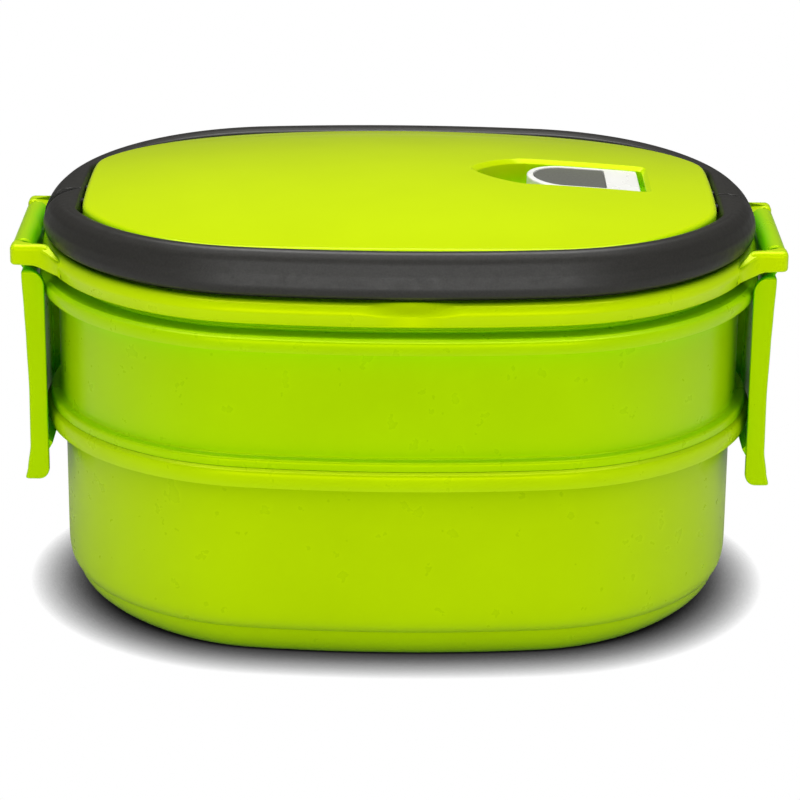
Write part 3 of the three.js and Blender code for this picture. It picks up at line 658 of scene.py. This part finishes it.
def round_off(distance, radius):
    """How far an edge of a given radius has drawn back at a distance from its end."""
    if distance >= radius:
        return 0
    return radius * (1 - sqrt(1 - min(1, 1 - distance / radius) ** 2))


# Sections along the sides and across the ends, as (inset, height, corner radius) points
SIDE_DEPTH, END_DEPTH, HOOP_LINE = 7.3, 11.2, 7
SIDE_SECTION = [(3.2, 101.4, 1.2), (0.9, 102.6, 2), (0.3, 104.5, 4), (0.8, 108, 8), (1.8, 112, 5),
                (3.5, 114.2, 2.5), (5.6, 113.8, 3), (7.0, 113.2, 1.2), (SIDE_DEPTH, 112.3, 1),
                (SIDE_DEPTH, 102, 0.5), (6.7, 101.4, 0.5)]
END_SECTION = [(3.2, 101.4, 1.2), (0.9, 102.6, 2), (0.3, 104.5, 4), (0.8, 107, 6), (2.2, 109.5, 5),
               (4.4, 111.4, 4), (8.0, 112.2, 3), (10.4, 112.2, 1.2), (END_DEPTH, 111.2, 1),
               (END_DEPTH, 102, 0.5), (10.4, 101.4, 0.5)]
INNER_FROM = 6
STRAIGHT_HALF, STRAIGHT_FADE = 12, 20
PIVOT_Y, PIVOT_Z = 6.5, 110.0
TAIL_DROP = 8.3
FRONT_TIP_RADIUS = 8.0


def handle_sections():
    """Rounded side and end sections as matching (inset, height) points, each with whether it is inner."""
    steps = 5
    side = rounded(SIDE_SECTION, steps, True)
    end = rounded(END_SECTION, steps, True)
    inner = [k // (steps + 1) >= INNER_FROM for k in range(len(side))]
    return list(zip(side, end, inner))


def straight_share(angle):
    """One where the handle's inner face is straight across an end, falling to zero at the sides."""
    side_reach, end_reach, blend = END_RADIUS - SIDE_DEPTH, END_RADIUS - END_DEPTH, 0.5
    straight = soft_least(end_reach / max(abs(cos(angle)), TINY), side_reach, blend)
    return (side_reach - straight) / (side_reach - end_reach)


def tip_cut(y, radius):
    """How far the outer side of a handle's end is drawn in towards its tip."""
    return round_off(abs(y) - FIT_GAP / 2, radius) if radius else 0


def handle_ring(angle, sections, tip_radius):
    """Section of the handle at a normal angle of the plan."""
    side_share = abs(sin(angle))
    line = []
    share = straight_share(angle) if at_end(angle) else 0
    common = (END_RADIUS - HOOP_LINE) * sin(angle)
    for (side_in, side_z), (end_in, end_z), inner in sections:
        mix = 1 - share if inner else side_share
        inset = end_in + (side_in - end_in) * mix
        height = end_z + (side_z - end_z) * side_share
        if at_end(angle):
            inset += tip_cut(common, tip_radius) * (1 - inset / END_DEPTH)
            radius = END_RADIUS - inset
            far = eased((abs(common) - STRAIGHT_HALF) / STRAIGHT_FADE)
            y = common + (radius * sin(angle) - common) * far
            side = 1 if cos(angle) > 0 else -1
            x = side * (END_CENTRE + sqrt(radius ** 2 - y ** 2))
        else:
            x, y = plan_point(angle, inset)
        past = y + PIVOT_Y
        if past > 0:
            tail = PIVOT_Y - FIT_GAP / 2
            height = max(height, PIVOT_Z - sqrt(max(0, TAIL_DROP ** 2 - past ** 2)))
            height = min(height, PIVOT_Z + sqrt(max(0, (tail + 0.02) ** 2 - min(past, tail) ** 2)))
        line.append((x, y, height))
    return line


def make_handle(name, left_tip):
    """Front half hoop; its left tip may be rounded in plan. Its steps are finer near the tips."""
    sections = handle_sections()
    seam, tip = asin((FIT_GAP / 2) / (END_RADIUS - HOOP_LINE)), radians(14)
    tip_steps, hoop_steps, tip_power = 40, 90, 1.3
    quarter = [seam + (tip - seam) * (i / tip_steps) ** tip_power for i in range(tip_steps)]
    quarter += [tip + (pi / 2 - tip) * i / hoop_steps for i in range(hoop_steps + 1)]
    angles = [pi + a for a in quarter] + [2 * pi - a for a in quarter[:-1][::-1]]
    rings = [handle_ring(a, sections, left_tip if a < 1.5 * pi else 0) for a in angles]
    return skin(name, rings, smooth_angle=40)


# Latches

PIVOT_X = 101.1
LATCH_PIVOT_Z = ARM_TOP - 3.2
LATCH_LENGTH = 63.8
LATCH_HALF = 24.0
LATCH_OUT, LATCH_BOW = 0.1, 1.2
RIB_INNER = LATCH_OUT - LATCH_BOW - 4.9
WEB = 1.8
# Shares of the latch's length, each with the share of its bow that the face has there
FACE_SHARES = [(0.07, 0), (0.097, 0), (0.237, 0.36), (0.36, 0.64), (0.595, 1), (0.85, 0.91), (0.95, 0.18),
               (1.0, -0.4)]


def face_at(drop):
    """Distance of the latch's outer face from its pivot, at a drop below it."""
    share = drop / LATCH_LENGTH
    for (a, fa), (b, fb) in zip(FACE_SHARES, FACE_SHARES[1:]):
        if share <= b:
            t = min(1, max(0, (share - a) / (b - a)))
            return LATCH_OUT - LATCH_BOW * (fa + (fb - fa) * (t * t * (3 - 2 * t) * 0.5 + t * 0.5))
    return LATCH_OUT - LATCH_BOW * FACE_SHARES[-1][1]


def channel_section(drop, shoulder):
    """Channel-shaped section of the latch in the X and Y plane at a drop below the pivot."""
    from_top, from_end = drop - shoulder, LATCH_LENGTH - drop
    face = face_at(drop) - round_off(from_end, 0.6) - round_off(from_top, 0.9)
    rib = RIB_INNER + round_off(from_end, 3.0) + round_off(from_top, 4.5)
    web = max(face_at(drop) - WEB, rib + 0.05)
    half = LATCH_HALF - round_off(from_top, 0.9) - round_off(from_end, 0.6)
    path = [(face, -half, 0.8), (face, half, 0.8), (rib, half, 0.45), (rib, half - 2.2, 0.45),
            (web, half - 2.4, 0.5), (web, -half + 2.4, 0.5), (rib, -half + 2.2, 0.45), (rib, -half, 0.45)]
    return [(PIVOT_X + x, y, LATCH_PIVOT_Z - drop) for x, y in rounded(path, 4, True)]


def make_latch():
    shoulder, steps, radius, barrel_half, hook_half = 4.1, 110, 3.11, 18.4, 22.9
    shares = [0.5 - 0.5 * cos(pi * i / steps) for i in range(steps + 1)]
    drops = [shoulder + (LATCH_LENGTH - shoulder) * share for share in shares]
    latch = skin("right_latch_clip", [channel_section(drop, shoulder) for drop in drops])
    section = rounded([(-1.4, -8), (LATCH_OUT, -8), (LATCH_OUT, -5.2, 2.5)], 4) + [(2.6, -1.9)]
    turns = [radians(-25 + 230 * i / 40) for i in range(41)]
    section += [(radius * cos(turn), radius * sin(turn)) for turn in turns] + [(-2.3, -3.2)]
    barrel, bevel = [], 0.5
    ends = [(-barrel_half, bevel), (bevel - barrel_half, 0), (barrel_half - bevel, 0), (barrel_half, bevel)]
    for y, shrink in ends:
        size = 1 - shrink / radius
        barrel.append([(PIVOT_X + a * size, y, LATCH_PIVOT_Z + (b * size if b > 0 else b))
                       for a, b in section])
    tip_x, tip_z = 94.0, BEAD_BOTTOM - 3.5
    wedge = [(tip_x, tip_z, 0.3), (tip_x + 2.6, tip_z - 4.4, 0.3), (99.1, tip_z - 4.4), (99.1, tip_z + 5.2)]
    hook = [[(x, y, z) for x, z in rounded(wedge, 3, True)] for y in (-hook_half, hook_half)]
    join(latch, [skin("barrel", barrel), skin("hook", hook)])
    return latch


# Materials

def material(name, colour, roughness, specular=0.5, tint=(1, 1, 1), metallic=0.0):
    """New material and its shader; colour is linear."""
    surface = bpy.data.materials.new(name)
    surface.use_nodes = True
    shader = surface.node_tree.nodes["Principled BSDF"]
    shader.inputs["Base Color"].default_value = (*colour, 1)
    shader.inputs["Roughness"].default_value = roughness
    shader.inputs["Specular IOR Level"].default_value = specular
    shader.inputs["Specular Tint"].default_value = (*tint, 1)
    shader.inputs["Metallic"].default_value = metallic
    return surface, shader


def node(surface, kind, **settings):
    made = surface.node_tree.nodes.new(kind)
    for key, value in settings.items():
        setattr(made, key, value)
    return made


def noise(surface, scale, detail=3.0, stretch=(1, 1, 1)):
    """Noise in object space; scale is in repeats a metre."""
    links = surface.node_tree.links
    place = node(surface, "ShaderNodeTexCoord")
    mapping = node(surface, "ShaderNodeMapping")
    mapping.inputs["Scale"].default_value = stretch
    texture = node(surface, "ShaderNodeTexNoise")
    texture.inputs["Scale"].default_value = scale
    texture.inputs["Detail"].default_value = detail
    links.new(place.outputs["Object"], mapping.inputs["Vector"])
    links.new(mapping.outputs["Vector"], texture.inputs["Vector"])
    return texture.outputs["Fac"]


def ramp(surface, factor, low, high):
    """Values from low to high as the factor goes from its darker to its lighter parts."""
    spread = node(surface, "ShaderNodeMapRange")
    spread.inputs["From Min"].default_value = 0.3
    spread.inputs["From Max"].default_value = 0.7
    spread.inputs["To Min"].default_value = low
    spread.inputs["To Max"].default_value = high
    surface.node_tree.links.new(factor, spread.inputs["Value"])
    return spread.outputs["Result"]


def tone(surface, shader, factor, dark, light):
    """Colour that drifts between two near tones."""
    blend = node(surface, "ShaderNodeMix", data_type="RGBA")
    links = surface.node_tree.links
    links.new(factor, blend.inputs["Factor"])
    blend.inputs["A"].default_value = (*dark, 1)
    blend.inputs["B"].default_value = (*light, 1)
    links.new(blend.outputs["Result"], shader.inputs["Base Color"])


def vary_roughness(surface, shader, factor, low, high):
    surface.node_tree.links.new(ramp(surface, factor, low, high), shader.inputs["Roughness"])


def bump(surface, shader, layers):
    """Bump from (height, distance in millimetres, strength) layers."""
    links = surface.node_tree.links
    previous = None
    for height, distance, strength in layers:
        layer = node(surface, "ShaderNodeBump")
        layer.inputs["Distance"].default_value = distance * MM
        layer.inputs["Strength"].default_value = strength
        links.new(height, layer.inputs["Height"])
        if previous is not None:
            links.new(previous, layer.inputs["Normal"])
        previous = layer.outputs["Normal"]
    links.new(previous, shader.inputs["Normal"])


def srgb(red, green, blue):
    """Linear colour of a display colour in 0 to 255."""
    shares = (value / 255 for value in (red, green, blue))
    return tuple(c / 12.92 if c <= 0.04045 else ((c + 0.055) / 1.055) ** 2.4 for c in shares)


def openness(surface, reach):
    """How freely light reaches a point: near 0 in a crease narrower than reach, 1 in the open."""
    open_sky = node(surface, "ShaderNodeAmbientOcclusion", samples=8)
    open_sky.inputs["Distance"].default_value = reach * MM
    return open_sky.outputs["AO"]


def lime_plastic(name, colour, roughness, specular, crease, reach):
    """Lime plastic with painted shade in its creases; crease is what its red and green are multiplied by in
    creases narrower than reach, and a green factor above one paints a glow of bounced light there.
    """
    base = srgb(*colour)
    surface, shader = material(name, base, roughness, specular, tint=(1.0, 1.0, 0.0))
    broad = noise(surface, 30, 2)
    fine = noise(surface, 420, 2)
    dark = tuple(c * 0.975 for c in base)
    light = tuple(min(1, c * 1.02) for c in base)
    tone(surface, shader, ramp(surface, broad, 0, 1), dark, light)
    links = surface.node_tree.links
    # Painted crease shade: the occlusion moves the colour towards the crease colour, darker and greener, in
    # creases, under beads and rims and inside the latches.
    opened = openness(surface, reach)
    painted_crease_shade = node(surface, "ShaderNodeMix", data_type="RGBA")
    red, green = crease
    painted_crease_shade.inputs["A"].default_value = (base[0] * red, base[1] * green, 0.0, 1)
    links.new(shader.inputs["Base Color"].links[0].from_socket, painted_crease_shade.inputs["B"])
    spread = node(surface, "ShaderNodeMapRange")
    spread.inputs["From Min"].default_value = 0.1
    spread.inputs["From Max"].default_value = 0.97
    links.new(opened, spread.inputs["Value"])
    links.new(spread.outputs["Result"], painted_crease_shade.inputs["Factor"])
    links.new(painted_crease_shade.outputs["Result"], shader.inputs["Base Color"])
    vary_roughness(surface, shader, noise(surface, 180, 4), roughness * 0.97, roughness * 1.04)
    bump(surface, shader, [(fine, 0.004, 0.05), (broad, 0.2, 0.06)])
    return surface


def handle_plastic():
    surface, shader = material("matte_grey", srgb(38, 37, 34), 0.44, 0.42)
    grain = noise(surface, 1900, 4)
    tone(surface, shader, ramp(surface, grain, 0, 1), srgb(33, 32, 30), srgb(42, 41, 38))
    vary_roughness(surface, shader, noise(surface, 500, 3), 0.37, 0.47)
    bump(surface, shader, [(grain, 0.05, 0.3)])
    return surface


def plain_plastic(name, colour, roughness, grain_scale, grain_depth):
    surface, shader = material(name, srgb(*colour), roughness, 0.5)
    grain = noise(surface, grain_scale, 3)
    dark = tuple(c * 0.96 for c in srgb(*colour))
    tone(surface, shader, ramp(surface, grain, 0, 1), dark, srgb(*colour))
    vary_roughness(surface, shader, grain, roughness * 0.85, roughness * 1.15)
    bump(surface, shader, [(grain, grain_depth, 0.3)])
    return surface


def brushed_steel(name, colour, roughness, stretch):
    surface, shader = material(name, srgb(*colour), roughness, 0.5, metallic=1.0)
    lines = noise(surface, 900, 5, stretch)
    tone(surface, shader, ramp(surface, lines, 0, 1), tuple(c * 0.9 for c in srgb(*colour)), srgb(*colour))
    vary_roughness(surface, shader, lines, roughness * 0.8, roughness * 1.3)
    bump(surface, shader, [(lines, 0.02, 0.25)])
    return surface


# Each finish is a material slot of the record and the surface made for it; the pair after each lime finish's
# specular paints shade into its creases, and a glow of bounced green light where its green factor is above
# one.
LIME_LID = "lime_matte", lime_plastic("satin_lime_lid", (166, 196, 0), 0.28, 0.8, (0.3, 0.6), 6)
LIME_UPPER = "lime_matte", lime_plastic("satin_lime_upper", (147, 189, 0), 0.28, 0.8, (0.85, 1.3), 9)
LIME_LOWER = "lime_matte", lime_plastic("satin_lime_lower", (155, 189, 0), 0.28, 0.8, (0.35, 0.5), 12)
LIME_LATCH = "lime_matte", lime_plastic("satin_lime_latch", (149, 190, 0), 0.28, 0.8, (0.1, 1.1), 7)
LIME_GLOSS = "lime_gloss", lime_plastic("glossy_lime", (172, 195, 0), 0.16, 0.5, (1.0, 1.7), 5)
GREY = "grey_plastic", handle_plastic()
WHITE = "white_plastic", plain_plastic("glossy_white", (212, 212, 207), 0.28, 90, 0.002)
PAD = "grey_pad", plain_plastic("soft_grey", (84, 85, 78), 0.55, 1600, 0.04)
SILICONE = "silicone", plain_plastic("soft_clear", (228, 232, 214), 0.45, 900, 0.02)
STEEL_SHEET = "steel", brushed_steel("brushed_sheet", (226, 227, 229), 0.36, (0.04, 1, 1))
PIN_STEEL = "pin_steel", brushed_steel("drawn_rod", (44, 44, 46), 0.5, (1, 1, 1))


def finish_piece(piece, finish, body, *nodes):
    """Gives a piece its material and body, and hides the CAD nodes that it stands for."""
    slot, surface = finish
    piece.data.materials.clear()
    piece.data.materials.append(surface)
    weigh_normals(piece)
    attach(piece, body)
    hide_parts(*nodes)
    return piece


def add_pins(names, radius, axis):
    """Round rods along one axis in the places of the CAD pins."""
    along = "xyz".index(axis)
    for name in names:
        low, high = corners(name)
        rod = round_bar(name + "_rod", radius, high[along] - low[along], axis, (low + high) / 2)
        finish_piece(rod, PIN_STEEL, "lid", name)


def add_pieces():
    finish_piece(make_lower_tub(), LIME_LOWER, "lower_tub", "lower_tub")
    liner = make_liner("lower_liner_tray", "lower_liner", MOUTH + FIT_GAP)
    finish_piece(liner, STEEL_SHEET, "lower_tub", "lower_liner")
    finish_piece(make_seal("tier_seal_ring", "tier_seal", 2.6), SILICONE, "upper_tub", "tier_seal")
    finish_piece(make_upper_tub(), LIME_UPPER, "upper_tub", "upper_tub")
    liner = make_liner("upper_liner_tray", "upper_liner", NECK + 0.4)
    finish_piece(liner, STEEL_SHEET, "upper_tub", "upper_liner")
    finish_piece(make_seal("lid_gasket_ring", "lid_gasket", 3.5), SILICONE, "lid", "lid_gasket")
    finish_piece(make_lid_base(), LIME_LID, "lid", "lid_base")
    finish_piece(make_lid_liner(), LIME_LID, "lid", "lid_liner")
    finish_piece(make_panel(), LIME_GLOSS, "lid", "lid_panel")
    front = make_handle("front_handle_hoop", FRONT_TIP_RADIUS)
    plain = make_handle("plain_hoop", 0)
    back = mirror(plain, "back_handle_hoop", 1)
    bpy.data.objects.remove(plain)
    finish_piece(front, GREY, "front_handle", "front_handle")
    finish_piece(back, GREY, "back_handle", "back_handle")
    latch = make_latch()
    other = mirror(latch, "left_latch_clip", 0)
    finish_piece(latch, LIME_LATCH, "right_latch", "right_latch")
    finish_piece(other, LIME_LATCH, "left_latch", "left_latch")
    add_pins(("front_left_handle_pin", "front_right_handle_pin"), PIN_RADIUS, "x")
    add_pins(("back_left_handle_pin", "back_right_handle_pin"), PIN_RADIUS, "x")
    add_pins(("left_latch_pin", "right_latch_pin"), PIN_RADIUS, "y")
    add_pins(("vent_pin",), VENT_PIN_RADIUS, "y")
    finish_piece(make_lever(), WHITE, "vent_lever", "vent_lever")
    finish_piece(make_pad(), PAD, "vent_lever", "vent_pad")
    finish_piece(make_plug(), SILICONE, "vent_lever", "vent_plug")


add_pieces()


# Floor, light and camera
PAPER, MIRRORED_PAPER = 0.9, 0.27
SHADOW_REACH, SHADOW_POWER = 15, 3.0
AMBIENT = 0.66
SKY = {"From Min": 0.74, "From Max": 0.95, "To Min": 0.08, "To Max": 1.0}

def add_floor():
    """White floor with a painted contact shadow; it lights the box as pale paper and mirrors in it as grey.
    """
    half = 3.0
    spots = [(x * half, y * half, 0) for x, y in ((-1, -1), (1, -1), (1, 1), (-1, 1))]
    mesh = bpy.data.meshes.new("floor")
    mesh.from_pydata(spots, [], [(0, 1, 2, 3)])
    floor = bpy.data.objects.new("floor", mesh)
    bpy.context.collection.objects.link(floor)
    surface = bpy.data.materials.new("floor")
    surface.use_nodes = True
    nodes, links = surface.node_tree.nodes, surface.node_tree.links
    nodes.clear()
    plain = nodes.new("ShaderNodeBsdfDiffuse")
    plain.inputs["Color"].default_value = (PAPER, PAPER, PAPER, 1)
    # Painted contact shadow: to the camera the floor is an emission whose strength is its occlusion to a
    # power, darker near the box.
    shade = nodes.new("ShaderNodeMath")
    shade.operation = "POWER"
    shade.inputs[1].default_value = SHADOW_POWER
    links.new(openness(surface, SHADOW_REACH), shade.inputs[0])
    paper = nodes.new("ShaderNodeEmission")
    links.new(shade.outputs["Value"], paper.inputs["Strength"])
    path = nodes.new("ShaderNodeLightPath")
    grey = nodes.new("ShaderNodeBsdfDiffuse")
    grey.inputs["Color"].default_value = (MIRRORED_PAPER, MIRRORED_PAPER, MIRRORED_PAPER, 1)
    mirrored = nodes.new("ShaderNodeMixShader")
    links.new(path.outputs["Is Glossy Ray"], mirrored.inputs["Fac"])
    links.new(plain.outputs["BSDF"], mirrored.inputs[1])
    links.new(grey.outputs["BSDF"], mirrored.inputs[2])
    seen = nodes.new("ShaderNodeMixShader")
    output = nodes.new("ShaderNodeOutputMaterial")
    links.new(path.outputs["Is Camera Ray"], seen.inputs["Fac"])
    links.new(mirrored.outputs["Shader"], seen.inputs[1])
    links.new(paper.outputs["Emission"], seen.inputs[2])
    links.new(seen.outputs["Shader"], output.inputs["Surface"])
    mesh.materials.append(surface)


def add_world():
    """White backdrop; reflections see a sky that is bright only overhead."""
    world = bpy.data.worlds.new("studio")
    bpy.context.scene.world = world
    world.use_nodes = True
    nodes, links = world.node_tree.nodes, world.node_tree.links
    nodes.clear()
    ambient = nodes.new("ShaderNodeBackground")
    ambient.inputs["Color"].default_value = (1, 1, 1, 1)
    ambient.inputs["Strength"].default_value = AMBIENT
    white = nodes.new("ShaderNodeBackground")
    white.inputs["Strength"].default_value = 1
    dim = nodes.new("ShaderNodeBackground")
    place = nodes.new("ShaderNodeTexCoord")
    split = nodes.new("ShaderNodeSeparateXYZ")
    height = nodes.new("ShaderNodeMapRange")
    for socket, value in SKY.items():
        height.inputs[socket].default_value = value
    links.new(place.outputs["Generated"], split.inputs["Vector"])
    links.new(split.outputs["Z"], height.inputs["Value"])
    links.new(height.outputs["Result"], dim.inputs["Strength"])
    path = nodes.new("ShaderNodeLightPath")
    mirrored = nodes.new("ShaderNodeMixShader")
    pick = nodes.new("ShaderNodeMixShader")
    output = nodes.new("ShaderNodeOutputWorld")
    links.new(path.outputs["Is Glossy Ray"], mirrored.inputs["Fac"])
    links.new(ambient.outputs["Background"], mirrored.inputs[1])
    links.new(dim.outputs["Background"], mirrored.inputs[2])
    links.new(path.outputs["Is Camera Ray"], pick.inputs["Fac"])
    links.new(mirrored.outputs["Shader"], pick.inputs[1])
    links.new(white.outputs["Background"], pick.inputs[2])
    links.new(pick.outputs["Shader"], output.inputs["Surface"])


def add_light(name, place, aim, size, power):
    lamp = bpy.data.lights.new(name, "AREA")
    lamp.shape = "RECTANGLE"
    lamp.size, lamp.size_y = size
    lamp.energy = power
    holder = bpy.data.objects.new(name, lamp)
    holder.location = place
    holder.rotation_euler = (Vector(aim) - Vector(place)).to_track_quat("-Z", "Y").to_euler()
    bpy.context.collection.objects.link(holder)


def add_camera():
    """Camera of the photograph, its place, lens and roll worked out from the box's own outline."""
    distance, pitch, roll = 893, radians(19.53), radians(0.546)
    target = Vector((0.58, 0, 51.67))
    forward = Vector((0, cos(pitch), -sin(pitch)))
    lens = bpy.data.cameras.new("camera")
    lens.sensor_width = 36
    lens.lens = 144
    camera = bpy.data.objects.new("camera", lens)
    camera.location = (target - forward * distance) * MM
    turn = forward.to_track_quat("-Z", "Y") @ Quaternion((0, 0, 1), roll)
    camera.rotation_euler = turn.to_euler()
    bpy.context.collection.objects.link(camera)
    bpy.context.scene.camera = camera


add_floor()
add_world()
add_light("top_softbox", (0, 0, 0.9), (0, 0, 0.05), (0.9, 0.6), 9)
add_light("front_softbox", (0.0, -1.1, 0.14), (0, 0, 0.06), (1.4, 0.32), 5.4)
add_camera()
bpy.context.scene.view_settings.view_transform = "Standard"
